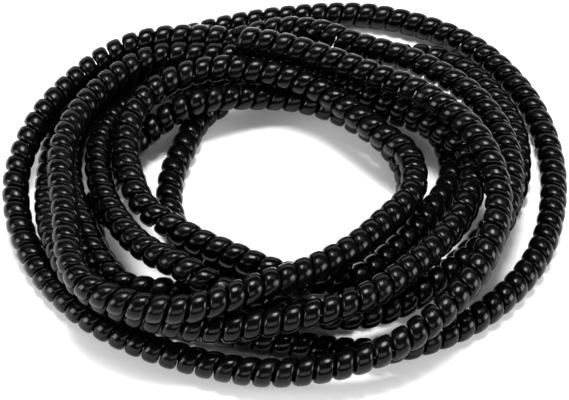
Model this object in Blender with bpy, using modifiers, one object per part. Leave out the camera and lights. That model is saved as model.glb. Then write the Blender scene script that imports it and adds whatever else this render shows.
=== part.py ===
"""Spiral cable wrap: one length of moulded spiral tubing, thrown down in a loose coil of about eight turns.

The helical strip is drawn as the hollow sleeve that it forms, because its turns touch each other.
"""

import math

import bpy
import numpy as np

# Driving dimensions, in metres
OUTER_DIAMETER = 0.0050
BORE_DIAMETER = 0.0030
GAP_BETWEEN_STRETCHES = 0.0005

# Cross-section of the drawn sleeve, which has a flat side below
SIDES = 8
BEVEL_RESOLUTION = 2
STATION_SPACING = 0.0058

# Settling, which keeps the stretches of the sleeve off each other
SAMPLE_SPACING = 0.0025
SETTLING_ROUNDS = 220
CLEARING_ROUNDS = 120
SINK = 0.003 * OUTER_DIAMETER
HOLD_IN_PLAN = 0.15
HOLD_IN_HEIGHT = 0.1
PUSH = 0.6
PUSHES_EACH_ROUND = 3
NEIGHBOUR_REACH = 2 * OUTER_DIAMETER
SAME_STRETCH_REACH = 2.4 * OUTER_DIAMETER

# Plan of the coil, clockwise as seen from above, with clock angle 0 at the left.
# Each row is one turn: the distance from the coil's middle, in plan units, at sixteen clock angles.
PLAN_UNIT = 0.001
CLOCK_ANGLES = 16
FIRST_CLOCK_ANGLE = 3
TURN_RADII = (
    (27.5, 23, 21.5, 22.5, 27.5, 34, 40, 43.5, 45.5, 45, 43.5, 43.5, 43.5),
    (45.75, 44, 41.75, 35, 30.5, 34.5, 45, 47, 43.25, 38, 35, 32.5, 33, 35, 42.75, 40.5),
    (39.5, 38.5, 38, 36, 35.5, 32, 34.75, 38.5, 40.5, 40.25, 37.5, 37.5, 36, 35.5, 33.75, 32.25),
    (33.5, 35, 32, 28.5, 26.5, 25, 26, 30.5, 30, 27, 27, 29.5, 26.5, 24.5, 26, 29.75),
    (29.75, 29, 25.5, 21.5, 19.5, 18, 17, 18, 22.5, 24.5, 24.5, 27.5, 33, 43.5, 47, 41),
    (39.5, 37.5, 35, 27.5, 23, 21.5, 22, 26.5, 33.5, 34.5, 35, 37, 37.5, 40.5, 42, 42.5),
    (42.5, 45, 43, 41.75, 43.25, 47.25, 49.5, 48, 48, 47.75, 45.5, 41.5, 36, 35.25, 38, 38.5),
    (33.5, 28.25, 23.5, 21.5, 20.25, 19.75, 20, 21.5, 23, 23.5, 24, 24, 24, 23.5, 23.5, 22),
    (20.5, 19.75, 21.25, 23),
)

# How high each turn lies at those places, counted in sleeve thicknesses above the floor.
TURN_LEVELS = (
    (2.25, 2, 2, 2.25, 2.5, 2.25, 2.25, 1.75, 1, 0.25, 0, 0, 0),
    (0, 0.75, 1.25, 1, 0, 0, 0, 0, 0, 0, 0, 0, 0, 1, 0.5, 0.75),
    (1, 0.5, 0.25, 0, 0.5, 1, 1.5, 1.25, 1.25, 1, 1, 1, 1, 1, 0.75, 1),
    (1, 0.5, 0, 0, 0, 0, 0.25, 0.25, 0.25, 0.5, 0.5, 1, 1, 1, 1, 1.25),
    (1.25, 1.25, 1, 1, 1, 1, 1, 1.25, 1.25, 1.25, 1.25, 1.5, 2, 2.25, 2, 2),
    (2, 1.5, 1.25, 1.25, 1, 1, 1.25, 1.25, 1.25, 1.25, 1.5, 2, 2, 1.25, 1, 0),
    (0, 0, 0, 0, 0, 0, 0, 0, 0, 0, 0, 0, 0, 0, 0, 0),
    (0, 0.25, 1, 0.75, 0.5, 0.25, 0, 0, 0, 0, 0, 0, 0, 0, 0, 0),
    (0, 0, 0, 0),
)

# Steps drawn between two points of the plan before it is spaced evenly
STEPS_BETWEEN_POINTS = 24


def route_points():
    """Return the planned route's points, in order along the sleeve."""
    radii = [PLAN_UNIT * radius for turn in TURN_RADII for radius in turn]
    levels = [level for turn in TURN_LEVELS for level in turn]
    points = []
    for count, (radius, level) in enumerate(zip(radii, levels)):
        angle = math.pi - math.tau * (FIRST_CLOCK_ANGLE + count) / CLOCK_ANGLES
        height = OUTER_DIAMETER / 2 + level * OUTER_DIAMETER
        points.append((radius * math.cos(angle), radius * math.sin(angle), height))
    return np.array(points)


def smooth_through(points, spacing):
    """Return points at even spacing on a smooth curve through the given ones."""
    padded = np.vstack([2 * points[0] - points[1], points, 2 * points[-1] - points[-2]])
    steps = np.linspace(0, 1, STEPS_BETWEEN_POINTS, endpoint=False)[:, None]
    pieces = []
    for a, b, c, d in zip(padded, padded[1:], padded[2:], padded[3:]):
        bend = (2 * a - 5 * b + 4 * c - d) * steps**2 + (3 * b - a - 3 * c + d) * steps**3
        pieces.append(b + 0.5 * ((c - a) * steps + bend))
    return evenly_spaced(np.vstack(pieces + [points[-1:]]), spacing)


def evenly_spaced(points, spacing):
    """Return the same line with its points moved to an even spacing."""
    lengths = np.linalg.norm(np.diff(points, axis=0), axis=1)
    along = np.concatenate([[0], np.cumsum(lengths)])
    wanted = np.linspace(0, along[-1], round(along[-1] / spacing) + 1)
    return np.stack([np.interp(wanted, along, column) for column in points.T], axis=1)


def soften(values):
    """Move each value a little towards the middle of its two neighbours."""
    values[1:-1] += 0.25 * (values[:-2] + values[2:] - 2 * values[1:-1])


def close_pairs(points):
    """Return the index pairs of different stretches that lie near each other."""
    distance = np.linalg.norm(points[:, None] - points[None], axis=2)
    first, second = np.nonzero(distance < NEIGHBOUR_REACH)
    apart = (second - first) * SAMPLE_SPACING > SAME_STRETCH_REACH
    return first[apart], second[apart]


def push_apart(points, pairs):
    """Move stretches that are too near away from each other, and everything off the floor."""
    keep = OUTER_DIAMETER + GAP_BETWEEN_STRETCHES
    first, second = pairs
    across = points[first] - points[second]
    distance = np.linalg.norm(across, axis=1)
    near = distance < keep
    first, second, across, distance = first[near], second[near], across[near], distance[near]
    move = across * ((keep - distance) / distance)[:, None]
    total = np.zeros_like(points)
    number = np.zeros(len(points))
    np.add.at(total, first, move)
    np.add.at(total, second, -move)
    np.add.at(number, first, 1)
    np.add.at(number, second, 1)
    points += PUSH * total / np.maximum(number, 1)[:, None]
    points[:, 2] = np.maximum(points[:, 2], OUTER_DIAMETER / 2)


def relax(points, plan, passes):
    """Take sharp bends out of the heights and out of how far the line has drifted from its plan."""
    drift = points[:, :2] - plan[:, :2]
    for _ in range(passes):
        soften(points[:, 2])
        soften(drift)
    points[:, :2] = plan[:, :2] + drift


def settle(plan):
    """Return the planned line after its stretches have come to rest on each other and on the floor."""
    points = plan.copy()
    for count in range(SETTLING_ROUNDS + CLEARING_ROUNDS):
        if count % 10 == 0:
            pairs = close_pairs(points)
        settling = count < SETTLING_ROUNDS
        if settling:
            points[:, 2] += HOLD_IN_HEIGHT * (plan[:, 2] - points[:, 2]) - SINK
            points[:, :2] += HOLD_IN_PLAN * (plan[:, :2] - points[:, :2])
        relax(points, plan, passes=3 if settling else 1)
        for _ in range(PUSHES_EACH_ROUND):
            push_apart(points, pairs)
    return points


def rest_on_floor(points):
    """Return the line centred over the origin, with the sleeve's lowest flat side on the floor."""
    low, high = points.min(axis=0), points.max(axis=0)
    flat_height = OUTER_DIAMETER / 2 * math.cos(math.pi / SIDES)
    return points - np.array([(low[0] + high[0]) / 2, (low[1] + high[1]) / 2, low[2] - flat_height])


def build_sleeve(name, points, collection):
    """Build the hollow sleeve along the points and return its object."""
    stations = evenly_spaced(points, STATION_SPACING)
    curve = bpy.data.curves.new(name, "CURVE")
    curve.dimensions = "3D"
    curve.twist_mode = "Z_UP"
    curve.bevel_depth = OUTER_DIAMETER / 2
    curve.bevel_resolution = BEVEL_RESOLUTION
    spline = curve.splines.new("POLY")
    spline.points.add(len(stations) - 1)
    for point, station in zip(spline.points, stations):
        point.co = (*station, 1)
        point.tilt = math.pi / SIDES
    sleeve = bpy.data.objects.new(name, curve)
    collection.objects.link(sleeve)
    wall = sleeve.modifiers.new("wall", "SOLIDIFY")
    wall.thickness = (OUTER_DIAMETER - BORE_DIAMETER) / 2
    wall.offset = -1
    return sleeve


def black_plastic():
    """Return the wrap's glossy black plastic."""
    material = bpy.data.materials.new("wrap_black")
    material.use_nodes = True
    shader = material.node_tree.nodes["Principled BSDF"]
    shader.inputs["Base Color"].default_value = (0.012, 0.012, 0.014, 1)
    shader.inputs["Roughness"].default_value = 0.3
    shader.inputs["Metallic"].default_value = 0
    return material


def main():
    """Clear the scene and build the coiled wrap."""
    for item in list(bpy.data.objects):
        bpy.data.objects.remove(item, do_unlink=True)
    collection = bpy.data.collections.new("spiral_cable_wrap")
    bpy.context.scene.collection.children.link(collection)
    plan = smooth_through(route_points(), SAMPLE_SPACING)
    centreline = rest_on_floor(settle(plan))
    wrap = build_sleeve("spiral_wrap", centreline, collection)
    wrap.data.materials.append(black_plastic())


main()
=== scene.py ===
"""Looks of the spiral cable wrap: a glossy black strip wound in a helix, in a loose coil on a pale floor."""

import logging
import math
from dataclasses import dataclass, field
from enum import Enum

import bpy
import numpy as np
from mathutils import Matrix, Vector


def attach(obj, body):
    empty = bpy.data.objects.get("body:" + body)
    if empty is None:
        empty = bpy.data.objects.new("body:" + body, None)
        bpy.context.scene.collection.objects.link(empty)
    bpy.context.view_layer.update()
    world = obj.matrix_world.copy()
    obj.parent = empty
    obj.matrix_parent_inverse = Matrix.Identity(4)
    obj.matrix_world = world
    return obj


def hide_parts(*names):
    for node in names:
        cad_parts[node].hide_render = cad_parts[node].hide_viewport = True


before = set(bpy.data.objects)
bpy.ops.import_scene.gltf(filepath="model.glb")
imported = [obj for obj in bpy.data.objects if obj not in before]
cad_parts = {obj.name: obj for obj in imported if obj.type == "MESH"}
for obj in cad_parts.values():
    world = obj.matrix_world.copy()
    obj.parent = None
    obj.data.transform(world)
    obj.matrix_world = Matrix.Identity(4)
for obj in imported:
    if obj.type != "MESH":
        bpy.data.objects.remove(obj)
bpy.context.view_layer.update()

log = logging.getLogger("spiral_wrap_scene")

BODY = "root"
CAD_NODE = "spiral_wrap"
MATERIAL_SLOT = "wrap_black"

# The wrap's outer diameter in metres, as in the CAD
OUTER_DIAMETER = 0.0050

MILLIMETRES_IN_A_METRE = 1000

# How far one softening moves a value towards its neighbours: a half would reach their middle
SOFTENING = 0.25

# Plan of the coil, clockwise as seen from above, with clock angle 0 at the left.
# Each row is one turn: the distance from the coil's middle in millimetres at sixteen clock angles.
# The first and the last row are part of a turn.
TURN_RADII_MM = (
    (27.5, 23, 21.5, 22.5, 27.5, 34, 40, 43.5, 45.5, 45, 43.5, 43.5, 43.5),
    (45.75, 44, 41.75, 35, 30.5, 34.5, 45, 47, 43.25, 38, 35, 32.5, 33, 35, 42.75, 40.5),
    (39.5, 38.5, 38, 36, 35.5, 32, 34.75, 38.5, 40.5, 40.25, 37.5, 37.5, 36, 35.5, 33.75, 32.25),
    (33.5, 35, 32, 28.5, 26.5, 25, 26, 30.5, 30, 27, 27, 29.5, 26.5, 24.5, 26, 29.75),
    (29.75, 29, 25.5, 21.5, 19.5, 18, 17, 18, 22.5, 24.5, 24.5, 27.5, 33, 43.5, 47, 41),
    (39.5, 37.5, 35, 27.5, 23, 21.5, 22, 26.5, 33.5, 34.5, 35, 37, 37.5, 40.5, 42, 42.5),
    (42.5, 45, 43, 41.75, 43.25, 47.25, 49.5, 48, 48, 47.75, 45.5, 41.5, 36, 35.25, 38, 38.5),
    (33.5, 28.25, 23.5, 21.5, 20.25, 19.75, 20, 21.5, 23, 23.5, 24, 24, 24, 23.5, 23.5, 22),
    (20.5, 19.75, 21.25, 23),
)

# How high each turn lies at those places, counted in sleeve thicknesses above the floor.
TURN_LEVELS = (
    (2.25, 2, 2, 2.25, 2.5, 2.25, 2.25, 1.75, 1, 0.25, 0, 0, 0),
    (0, 0.75, 1.25, 1, 0, 0, 0, 0, 0, 0, 0, 0, 0, 1, 0.5, 0.75),
    (1, 0.5, 0.25, 0, 0.5, 1, 1.5, 1.25, 1.25, 1, 1, 1, 1, 1, 0.75, 1),
    (1, 0.5, 0, 0, 0, 0, 0.25, 0.25, 0.25, 0.5, 0.5, 1, 1, 1, 1, 1.25),
    (1.25, 1.25, 1, 1, 1, 1, 1, 1.25, 1.25, 1.25, 1.25, 1.5, 2, 2.25, 2, 2),
    (2, 1.5, 1.25, 1.25, 1, 1, 1.25, 1.25, 1.25, 1.25, 1.5, 2, 2, 1.25, 1, 0),
    (0, 0, 0, 0, 0, 0, 0, 0, 0, 0, 0, 0, 0, 0, 0, 0),
    (0, 0.25, 1, 0.75, 0.5, 0.25, 0, 0, 0, 0, 0, 0, 0, 0, 0, 0),
    (0, 0, 0, 0),
)


def smooth_through(points: np.ndarray, spacing: float, steps_between: int = 24) -> np.ndarray:
    """Draw a smooth curve through points.

    Args:
        points: The points that the curve passes, in metres.
        spacing: The distance between the points that are returned.
        steps_between: Steps drawn between two given points before the even spacing.

    Returns:
        Points on the curve at that even spacing.
    """
    padded = np.vstack([2 * points[0] - points[1], points, 2 * points[-1] - points[-2]])
    steps = np.linspace(0, 1, steps_between, endpoint=False)[:, None]
    pieces = []
    for a, b, c, d in zip(padded, padded[1:], padded[2:], padded[3:]):
        bend = (2 * a - 5 * b + 4 * c - d) * steps**2 + (3 * b - a - 3 * c + d) * steps**3
        pieces.append(b + 0.5 * ((c - a) * steps + bend))
    return evenly_spaced(np.vstack(pieces + [points[-1:]]), spacing)


def evenly_spaced(points: np.ndarray, spacing: float) -> np.ndarray:
    """Move the points of a line to an even spacing.

    Args:
        points: The line's points.
        spacing: The wanted distance between neighbours.

    Returns:
        The points of the same line at the even spacing.
    """
    lengths = np.linalg.norm(np.diff(points, axis=0), axis=1)
    along = np.concatenate([[0], np.cumsum(lengths)])
    wanted = np.linspace(0, along[-1], round(along[-1] / spacing) + 1)
    return np.stack([np.interp(wanted, along, column) for column in points.T], axis=1)


def soften(values: np.ndarray) -> None:
    """Move each value, in place, a little towards the middle of its two neighbours."""
    values[1:-1] += SOFTENING * (values[:-2] + values[2:] - 2 * values[1:-1])


@dataclass
class CoilRoute:
    """The wrap's centreline in its loose coil, laid on the floor and on itself as the CAD lays it.

    The sink of each round and the two reaches are counted in outer diameters.
    """

    outer_diameter: float = OUTER_DIAMETER
    gap_between_stretches: float = 0.0005
    sample_spacing: float = 0.0025
    first_clock_angle: int = 3
    clock_angles: int = 16
    settling_rounds: int = 220
    clearing_rounds: int = 120
    rounds_each_search: int = 10
    softenings_settling: int = 3
    softenings_clearing: int = 1
    sink: float = 0.003
    hold_in_plan: float = 0.15
    hold_in_height: float = 0.1
    push: float = 0.6
    pushes_each_round: int = 3
    neighbour_reach: float = 2.0
    same_stretch_reach: float = 2.4

    def plan(self) -> np.ndarray:
        """Lay the turns out by clock angle.

        Returns:
            Points along the planned line, before it settles.
        """
        radii = [radius / MILLIMETRES_IN_A_METRE for turn in TURN_RADII_MM for radius in turn]
        levels = [level for turn in TURN_LEVELS for level in turn]
        points = []
        for count, (radius, level) in enumerate(zip(radii, levels)):
            angle = math.pi - math.tau * (self.first_clock_angle + count) / self.clock_angles
            height = self.outer_diameter * (0.5 + level)
            points.append((radius * math.cos(angle), radius * math.sin(angle), height))
        return smooth_through(np.array(points), self.sample_spacing)

    def close_pairs(self, points: np.ndarray) -> tuple[np.ndarray, np.ndarray]:
        """Find the places where different stretches lie near each other.

        Args:
            points: The line as it lies now.

        Returns:
            The two index arrays of the near points.
        """
        distance = np.linalg.norm(points[:, None] - points[None], axis=2)
        first, second = np.nonzero(distance < self.neighbour_reach * self.outer_diameter)
        apart = (second - first) * self.sample_spacing > self.same_stretch_reach * self.outer_diameter
        return first[apart], second[apart]

    def push_apart(self, points: np.ndarray, pairs: tuple[np.ndarray, np.ndarray]) -> None:
        """Move stretches that are too near away from each other, and everything off the floor.

        Args:
            points: The line, which is changed in place.
            pairs: The index arrays of the near points.
        """
        keep = self.outer_diameter + self.gap_between_stretches
        first, second = pairs
        across = points[first] - points[second]
        distance = np.linalg.norm(across, axis=1)
        near = distance < keep
        first, second, across, distance = first[near], second[near], across[near], distance[near]
        move = across * ((keep - distance) / distance)[:, None]
        total = np.zeros_like(points)
        number = np.zeros(len(points))
        np.add.at(total, first, move)
        np.add.at(total, second, -move)
        np.add.at(number, first, 1)
        np.add.at(number, second, 1)
        points += self.push * total / np.maximum(number, 1)[:, None]
        points[:, 2] = np.maximum(points[:, 2], self.outer_diameter / 2)

    def relax(self, points: np.ndarray, plan: np.ndarray, softenings: int) -> None:
        """Take sharp bends out of the heights and out of how far the line has drifted from its plan.

        Args:
            points: The line, which is changed in place.
            plan: The planned line.
            softenings: How often both are softened.
        """
        drift = points[:, :2] - plan[:, :2]
        for _ in range(softenings):
            soften(points[:, 2])
            soften(drift)
        points[:, :2] = plan[:, :2] + drift

    def settle(self, plan: np.ndarray) -> np.ndarray:
        """Let the planned line come to rest on the floor and on its own turns.

        Args:
            plan: The planned line.

        Returns:
            The line at rest.
        """
        points = plan.copy()
        for count in range(self.settling_rounds + self.clearing_rounds):
            if count % self.rounds_each_search == 0:
                pairs = self.close_pairs(points)
            settling = count < self.settling_rounds
            if settling:
                points[:, 2] += self.hold_in_height * (plan[:, 2] - points[:, 2])
                points[:, 2] -= self.sink * self.outer_diameter
                points[:, :2] += self.hold_in_plan * (plan[:, :2] - points[:, :2])
            self.relax(points, plan, self.softenings_settling if settling else self.softenings_clearing)
            for _ in range(self.pushes_each_round):
                self.push_apart(points, pairs)
        return points

    def centreline(self) -> np.ndarray:
        """Settle the line and centre it over the origin, with the round wrap's underside on the floor.

        Returns:
            The centreline's points, evenly spaced.
        """
        points = self.settle(self.plan())
        low, high = points.min(axis=0), points.max(axis=0)
        middle = (low + high) / 2
        return points - np.array([middle[0], middle[1], low[2] - self.outer_diameter / 2])


@dataclass
class CarriedFrame:
    """A line's points with two side directions carried along it without twist, and its bend."""

    points: np.ndarray
    spacing: float
    bend_softenings: int = 12
    distance: np.ndarray = field(init=False)
    side: np.ndarray = field(init=False)
    other_side: np.ndarray = field(init=False)
    bend: np.ndarray = field(init=False)

    def __post_init__(self) -> None:
        """Work out the directions and the bend at every point."""
        self.distance = np.arange(len(self.points)) * self.spacing
        tangent = np.gradient(self.points, axis=0)
        tangent /= np.linalg.norm(tangent, axis=1)[:, None]
        side = np.cross(tangent[0], (0.0, 0.0, 1.0))
        sides = []
        for direction in tangent:
            side = side - direction * np.dot(side, direction)
            side = side / np.linalg.norm(side)
            sides.append(side)
        self.side = np.array(sides)
        self.other_side = np.cross(tangent, self.side)
        self.bend = np.gradient(tangent, self.spacing, axis=0)
        for _ in range(self.bend_softenings):
            soften(self.bend)

    def at(self, distance: np.ndarray, values: np.ndarray) -> np.ndarray:
        """Read one of the frame's rows of vectors between its points.

        Args:
            distance: Distances along the line, of any shape.
            values: The vectors at the frame's points.

        Returns:
            The vectors at the distances, on one more axis.
        """
        columns = [np.interp(distance, self.distance, column) for column in values.T]
        return np.stack(columns, axis=-1)


@dataclass(frozen=True)
class GlossBlackPlastic:
    """Moulded black polyethylene: a smooth gloss with faint lines along the strip and a soft unevenness.

    The lines are a noise that is stretched along the strip, whose coordinates run in turns along it
    and from 0 to 1 round its section.
    """

    dark: tuple[float, float, float, float] = (0.0005, 0.0005, 0.0006, 1.0)
    light: tuple[float, float, float, float] = (0.0016, 0.0016, 0.0019, 1.0)
    smoothest: float = 0.12
    roughest: float = 0.26
    specular: float = 0.145
    mottle_per_metre: float = 220.0
    grain_per_metre: float = 900.0
    line_stretch: tuple[float, float, float] = (0.4, 26.0, 1.0)
    line_depth: float = 0.000012
    grain_depth: float = 0.00003
    noise_detail: float = 3.0
    noise_low: float = 0.3
    noise_high: float = 0.7

    def material(self) -> bpy.types.Material:
        """Build the node material.

        Returns:
            The finished material.
        """
        material = bpy.data.materials.new(MATERIAL_SLOT)
        material.use_nodes = True
        tree = material.node_tree
        shader = tree.nodes["Principled BSDF"]
        shader.inputs["Specular IOR Level"].default_value = self.specular
        place = tree.nodes.new("ShaderNodeTexCoord")
        mottle = self._noise(tree, place.outputs["Object"], self.mottle_per_metre)
        grain = self._noise(tree, place.outputs["Object"], self.grain_per_metre)
        lines = self._noise(tree, self._stretched(tree, place.outputs["UV"]), scale=1.0)
        self._between(tree, mottle, self.smoothest, self.roughest, shader.inputs["Roughness"])
        colour = tree.nodes.new("ShaderNodeMix")
        colour.data_type = "RGBA"
        colour.inputs["A"].default_value = self.dark
        colour.inputs["B"].default_value = self.light
        tree.links.new(lines, colour.inputs["Factor"])
        tree.links.new(colour.outputs["Result"], shader.inputs["Base Color"])
        first = self._bump(tree, grain, self.grain_depth)
        second = self._bump(tree, lines, self.line_depth)
        tree.links.new(first.outputs["Normal"], second.inputs["Normal"])
        tree.links.new(second.outputs["Normal"], shader.inputs["Normal"])
        return material

    def _noise(
        self, tree: bpy.types.NodeTree, vector: bpy.types.NodeSocket, scale: float
    ) -> bpy.types.NodeSocket:
        """Add a noise texture.

        Args:
            tree: The material's node tree.
            vector: What the noise is read at.
            scale: Its cells for each unit of the vector.

        Returns:
            The noise's value, around a half.
        """
        noise = tree.nodes.new("ShaderNodeTexNoise")
        noise.inputs["Scale"].default_value = scale
        noise.inputs["Detail"].default_value = self.noise_detail
        tree.links.new(vector, noise.inputs["Vector"])
        return noise.outputs["Fac"]

    def _stretched(self, tree: bpy.types.NodeTree, vector: bpy.types.NodeSocket) -> bpy.types.NodeSocket:
        """Stretch the strip's own coordinates so that a noise on them draws lines along it.

        Args:
            tree: The material's node tree.
            vector: The strip's coordinates.

        Returns:
            The stretched vector.
        """
        mapping = tree.nodes.new("ShaderNodeMapping")
        mapping.inputs["Scale"].default_value = self.line_stretch
        tree.links.new(vector, mapping.inputs["Vector"])
        return mapping.outputs["Vector"]

    def _between(
        self,
        tree: bpy.types.NodeTree,
        value: bpy.types.NodeSocket,
        low: float,
        high: float,
        target: bpy.types.NodeSocket,
    ) -> None:
        """Spread a noise value over a range and link it.

        Args:
            tree: The material's node tree.
            value: The noise's value.
            low: What the noise's low side becomes.
            high: What the noise's high side becomes.
            target: The socket that takes the result.
        """
        spread = tree.nodes.new("ShaderNodeMapRange")
        spread.inputs["From Min"].default_value = self.noise_low
        spread.inputs["From Max"].default_value = self.noise_high
        spread.inputs["To Min"].default_value = low
        spread.inputs["To Max"].default_value = high
        tree.links.new(value, spread.inputs["Value"])
        tree.links.new(spread.outputs["Result"], target)

    def _bump(self, tree: bpy.types.NodeTree, height: bpy.types.NodeSocket, depth: float) -> bpy.types.Node:
        """Add a bump of a real depth.

        Args:
            tree: The material's node tree.
            height: The value that makes the relief.
            depth: Its height in metres.

        Returns:
            The bump node.
        """
        bump = tree.nodes.new("ShaderNodeBump")
        bump.inputs["Distance"].default_value = depth
        tree.links.new(height, bump.inputs["Height"])
        return bump


class Winding(Enum):
    """Which way the strip winds as it goes along the wrap."""

    RIGHT_HANDED = 1
    LEFT_HANDED = -1


@dataclass
class WoundStrip:
    """The moulded strip, wound in a helix whose turns nearly touch.

    Its width is a share of the pitch, and the groove between two turns is the rest. A crown fullness of 2
    draws half an ellipse, and more makes the crown flatter with rounder shoulders. The wanders are the
    lengths over which the strip's small unevenness changes, in metres or in turns.
    """

    name: str = "wound_strip"
    outer_diameter: float = OUTER_DIAMETER
    bore_diameter: float = 0.0030
    pitch: float = 0.00325
    width_share: float = 0.935
    crown_depth: float = 0.0009
    crown_fullness: float = 2.7
    crown_points: int = 9
    bore_edge_inset: float = 0.00012
    stations_each_turn: int = 16
    steps_each_station: int = 4
    winding: Winding = Winding.LEFT_HANDED
    pitch_unevenness: float = 0.04
    pitch_wander: float = 0.03
    width_unevenness: float = 0.03
    width_wander_turns: float = 3
    sunk_depth: float = 0.00005
    sunk_wander_turns: float = 2
    sharp_edge_degrees: float = 50.0
    line_spacing: float = 0.0005
    seed: int = 7
    finish: GlossBlackPlastic = field(default_factory=GlossBlackPlastic)

    @property
    def half_width(self) -> float:
        """Half of the strip's width, measured along the wrap."""
        return self.pitch * self.width_share / 2

    def profile(self) -> np.ndarray:
        """Draw the strip's section: a crowned outer face, two flanks and a flat inner face.

        Returns:
            Rows of the offset along the wrap and the distance from its centreline.
        """
        half = self.half_width
        outer = self.outer_diameter / 2
        power = 2 / self.crown_fullness
        rows = []
        for count in range(self.crown_points):
            angle = math.pi * (1 - count / (self.crown_points - 1))
            across = math.copysign(abs(math.cos(angle)) ** power, math.cos(angle))
            rise = max(math.sin(angle), 0.0) ** power
            rows.append((half * across, outer - self.crown_depth * (1 - rise)))
        inner = self.bore_diameter / 2
        rows.append((half - self.bore_edge_inset, inner))
        rows.append((self.bore_edge_inset - half, inner))
        return np.array(rows)

    def unevenness(self, distance: np.ndarray, wavelength: float, draw: np.random.Generator) -> np.ndarray:
        """Make a smooth wander along the wrap.

        Args:
            distance: Distances along the wrap.
            wavelength: The wander's rough length.
            draw: The seeded source of its values.

        Returns:
            One value between about -1 and 1 at each distance.
        """
        knots = np.arange(0, distance[-1] + 2 * wavelength, wavelength / 2)
        values = draw.uniform(-1, 1, len(knots))
        soften(values)
        place = distance / (wavelength / 2)
        low = np.floor(place).astype(int)
        share = place - low
        share = share * share * (3 - 2 * share)
        return values[low] * (1 - share) + values[low + 1] * share

    def stations(self, length: float, draw: np.random.Generator) -> tuple[np.ndarray, np.ndarray]:
        """Work out where the strip is along the wrap, and how far round it is there.

        Args:
            length: The wrap's length.
            draw: The seeded source of the pitch's unevenness.

        Returns:
            The distances along the wrap and the angles round it.
        """
        fine = np.arange(0, length, self.pitch / self.stations_each_turn / self.steps_each_station)
        pitch = self.pitch * (1 + self.pitch_unevenness * self.unevenness(fine, self.pitch_wander, draw))
        angle = np.cumsum(math.tau / pitch * fine[1])
        first, last = np.interp([self.half_width, length - self.half_width], fine, angle)
        wanted = np.arange(first, last, math.tau / self.stations_each_turn)
        return np.interp(wanted, angle, fine), wanted

    def vertices(self, line: CarriedFrame) -> np.ndarray:
        """Sweep the section along the helix.

        Args:
            line: The wrap's centreline with its frame.

        Returns:
            The mesh's points, by station and by place in the section.
        """
        draw = np.random.default_rng(self.seed)
        distance, angle = self.stations(line.distance[-1], draw)
        section = self.profile()
        cosine = np.cos(angle)[:, None, None]
        sine = self.winding.value * np.sin(angle)[:, None, None]
        side = line.at(distance, line.side)[:, None]
        other_side = line.at(distance, line.other_side)[:, None]
        outward = cosine * side + sine * other_side
        bend = np.sum(line.at(distance, line.bend)[:, None] * outward, axis=-1)
        stretch = np.maximum(1 - bend * section[None, :, 1], 1.0)
        wander = self.unevenness(distance, self.width_wander_turns * self.pitch, draw)
        width = 1 + self.width_unevenness * wander
        offset = section[None, :, 0] * width[:, None] / stretch
        place = distance[:, None] + offset
        lift = self.sunk_depth * self.unevenness(distance, self.sunk_wander_turns * self.pitch, draw)
        radius = section[None, :, 1] + np.minimum(lift, 0)[:, None]
        outward = cosine * line.at(place, line.side) + sine * line.at(place, line.other_side)
        return line.at(place, line.points) + radius[..., None] * outward

    def build(self, centreline: np.ndarray) -> bpy.types.Object:
        """Args:
            centreline: The wrap's centreline, evenly spaced.

        Returns:
            The finished piece.
        """
        points = smooth_through(centreline, self.line_spacing)
        length = float(np.linalg.norm(np.diff(points, axis=0), axis=1).sum())
        line = CarriedFrame(points, length / (len(points) - 1))
        places = self.vertices(line)
        piece = bpy.data.objects.new(self.name, self._mesh(places))
        bpy.context.scene.collection.objects.link(piece)
        piece.data.materials.append(self.finish.material())
        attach(piece, BODY)
        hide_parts(CAD_NODE)
        return piece

    def _mesh(self, places: np.ndarray) -> bpy.types.Mesh:
        """Join the swept points into one closed surface with coordinates along and round the strip.

        Args:
            places: The points by station and by place in the section.

        Returns:
            The mesh.
        """
        rows, columns = places.shape[:2]
        row = np.arange(rows - 1)[:, None]
        column = np.arange(columns)[None]
        following = (column + 1) % columns
        corners = [row * columns + column, row * columns + following]
        corners += [(row + 1) * columns + following, (row + 1) * columns + column]
        faces = np.stack(corners, axis=-1).reshape(-1, 4).tolist()
        faces.append(list(range(columns))[::-1])
        faces.append([(rows - 1) * columns + count for count in range(columns)])
        mesh = bpy.data.meshes.new(self.name)
        mesh.from_pydata(places.reshape(-1, 3).tolist(), [], faces)
        layer = mesh.uv_layers.new(name="along_and_round")
        along = np.stack([row, row, row + 1, row + 1], axis=-1) / self.stations_each_turn
        across = np.stack([column, column + 1, column + 1, column], axis=-1) / columns
        values = np.stack(np.broadcast_arrays(along, across), axis=-1).reshape(-1)
        end_faces = np.zeros(len(layer.data) * 2 - len(values))
        layer.data.foreach_set("uv", np.concatenate([values, end_faces]))
        mesh.shade_smooth()
        mesh.set_sharp_from_angle(angle=math.radians(self.sharp_edge_degrees))
        mesh.validate()
        return mesh


@dataclass
class ViewCamera:
    """The camera at the photograph's angle, a long lens looking down on the coil."""

    coil_middle: tuple[float, float, float] = (-0.00025, 0.00035, 0.0)
    elevation: float = 48.0
    distance: float = 0.350
    lens_mm: float = 120.69
    sensor_mm: float = 36.0
    clip_start: float = 0.01
    aim_offset: tuple[float, float, float] = (-0.0001, -0.0025, 0.0)

    def build(self) -> bpy.types.Object:
        """Create the camera and make it the scene's own.

        Returns:
            The camera object.
        """
        data = bpy.data.cameras.new("view")
        data.lens = self.lens_mm
        data.sensor_width = self.sensor_mm
        data.clip_start = self.clip_start
        camera = bpy.data.objects.new("view", data)
        bpy.context.scene.collection.objects.link(camera)
        tilt = math.radians(self.elevation)
        middle = Vector(self.coil_middle)
        camera.location = middle + self.distance * Vector((0, -math.cos(tilt), math.sin(tilt)))
        aim = middle + Vector(self.aim_offset)
        camera.rotation_mode = "QUATERNION"
        camera.rotation_quaternion = (aim - camera.location).to_track_quat("-Z", "Y")
        bpy.context.scene.camera = camera
        return camera


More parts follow.
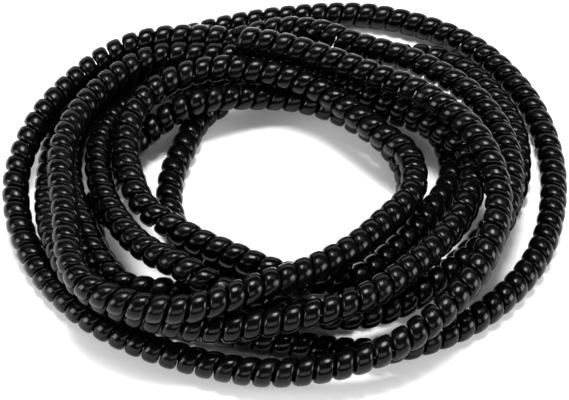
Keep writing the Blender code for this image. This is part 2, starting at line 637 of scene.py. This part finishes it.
@dataclass(frozen=True)
class MattWhite:
    """The floor's plain matt white."""

    colour: tuple[float, float, float, float] = (0.9, 0.9, 0.9, 1.0)
    roughness: float = 0.6

    def material(self) -> bpy.types.Material:
        """Build the material.

        Returns:
            The finished material.
        """
        material = bpy.data.materials.new("floor_white")
        material.use_nodes = True
        shader = material.node_tree.nodes["Principled BSDF"]
        shader.inputs["Base Color"].default_value = self.colour
        shader.inputs["Roughness"].default_value = self.roughness
        return material


@dataclass
class PaleFloor:
    """The plain white floor that the coil lies on."""

    width: float = 6.0
    finish: MattWhite = field(default_factory=MattWhite)

    def build(self) -> bpy.types.Object:
        """Build the floor.

        Returns:
            The floor object.
        """
        half = self.width / 2
        corners = [(-half, -half, 0), (half, -half, 0), (half, half, 0), (-half, half, 0)]
        mesh = bpy.data.meshes.new("floor")
        mesh.from_pydata(corners, [], [(0, 1, 2, 3)])
        floor = bpy.data.objects.new("floor", mesh)
        bpy.context.scene.collection.objects.link(floor)
        mesh.materials.append(self.finish.material())
        return floor


class LampPlace(Enum):
    """Where a softbox hangs: the compass angle from the camera's side, and its height angle, in degrees."""

    OVERHEAD = (180.0, 78.0)
    OVERHEAD_CORE = (180.0, 79.0)
    LEFT = (-75.0, 20.0)
    RIGHT = (75.0, 20.0)
    BEHIND = (180.0, 20.0)
    FRONT = (0.0, 31.0)


@dataclass(frozen=True)
class Softbox:
    """One rectangular softbox that faces the coil."""

    place: LampPlace
    distance: float
    width: float
    height: float
    watts: float

    def build(self) -> bpy.types.Object:
        """Hang the softbox.

        Returns:
            The light object.
        """
        data = bpy.data.lights.new(self.place.name.lower(), "AREA")
        data.shape = "RECTANGLE"
        data.size = self.width
        data.size_y = self.height
        data.energy = self.watts
        lamp = bpy.data.objects.new(data.name, data)
        bpy.context.scene.collection.objects.link(lamp)
        turn, rise = (math.radians(angle) for angle in self.place.value)
        away = Vector((math.sin(turn) * math.cos(rise), -math.cos(turn) * math.cos(rise), math.sin(rise)))
        lamp.location = away * self.distance
        lamp.rotation_mode = "QUATERNION"
        lamp.rotation_quaternion = away.to_track_quat("Z", "Y")
        return lamp


@dataclass
class Studio:
    """The camera, the floor and the soft light around the coil."""

    camera: ViewCamera = field(default_factory=ViewCamera)
    floor: PaleFloor = field(default_factory=PaleFloor)
    room_colour: tuple[float, float, float, float] = (1.0, 1.0, 1.0, 1.0)
    room_strength: float = 0.03
    lamps: tuple[Softbox, ...] = (
        Softbox(LampPlace.OVERHEAD, distance=0.6, width=1.1, height=0.28, watts=1.6),
        Softbox(LampPlace.OVERHEAD_CORE, distance=0.8, width=0.3, height=0.26, watts=9.0),
        Softbox(LampPlace.LEFT, distance=0.8, width=0.34, height=0.4, watts=6.0),
        Softbox(LampPlace.RIGHT, distance=0.8, width=0.34, height=0.4, watts=6.0),
        Softbox(LampPlace.BEHIND, distance=0.8, width=1.4, height=0.24, watts=1.8),
        Softbox(LampPlace.FRONT, distance=0.8, width=1.0, height=0.3, watts=3.2),
    )

    def build(self) -> None:
        """Set up the floor, the lamps and the room's own light."""
        self.floor.build()
        for lamp in self.lamps:
            lamp.build()
        world = bpy.data.worlds.new("white_room")
        world.use_nodes = True
        background = world.node_tree.nodes["Background"]
        background.inputs["Color"].default_value = self.room_colour
        background.inputs["Strength"].default_value = self.room_strength
        bpy.context.scene.world = world
        bpy.context.scene.view_settings.view_transform = "Standard"


def main() -> None:
    """Build the camera, the wrap and the studio in order, and report each."""
    logging.basicConfig(level=logging.INFO, format="%(message)s")
    studio = Studio()
    camera = studio.camera.build()
    log.info("camera %s at %.3f m from the coil", camera.name, studio.camera.distance)
    centreline = CoilRoute().centreline()
    strip = WoundStrip().build(centreline)
    faces = len(strip.data.polygons)
    log.info("strip %s: %d faces over %d route points", strip.name, faces, len(centreline))
    studio.build()
    log.info("studio: floor and %d softboxes", len(studio.lamps))


if __name__ == "__main__":
    main()
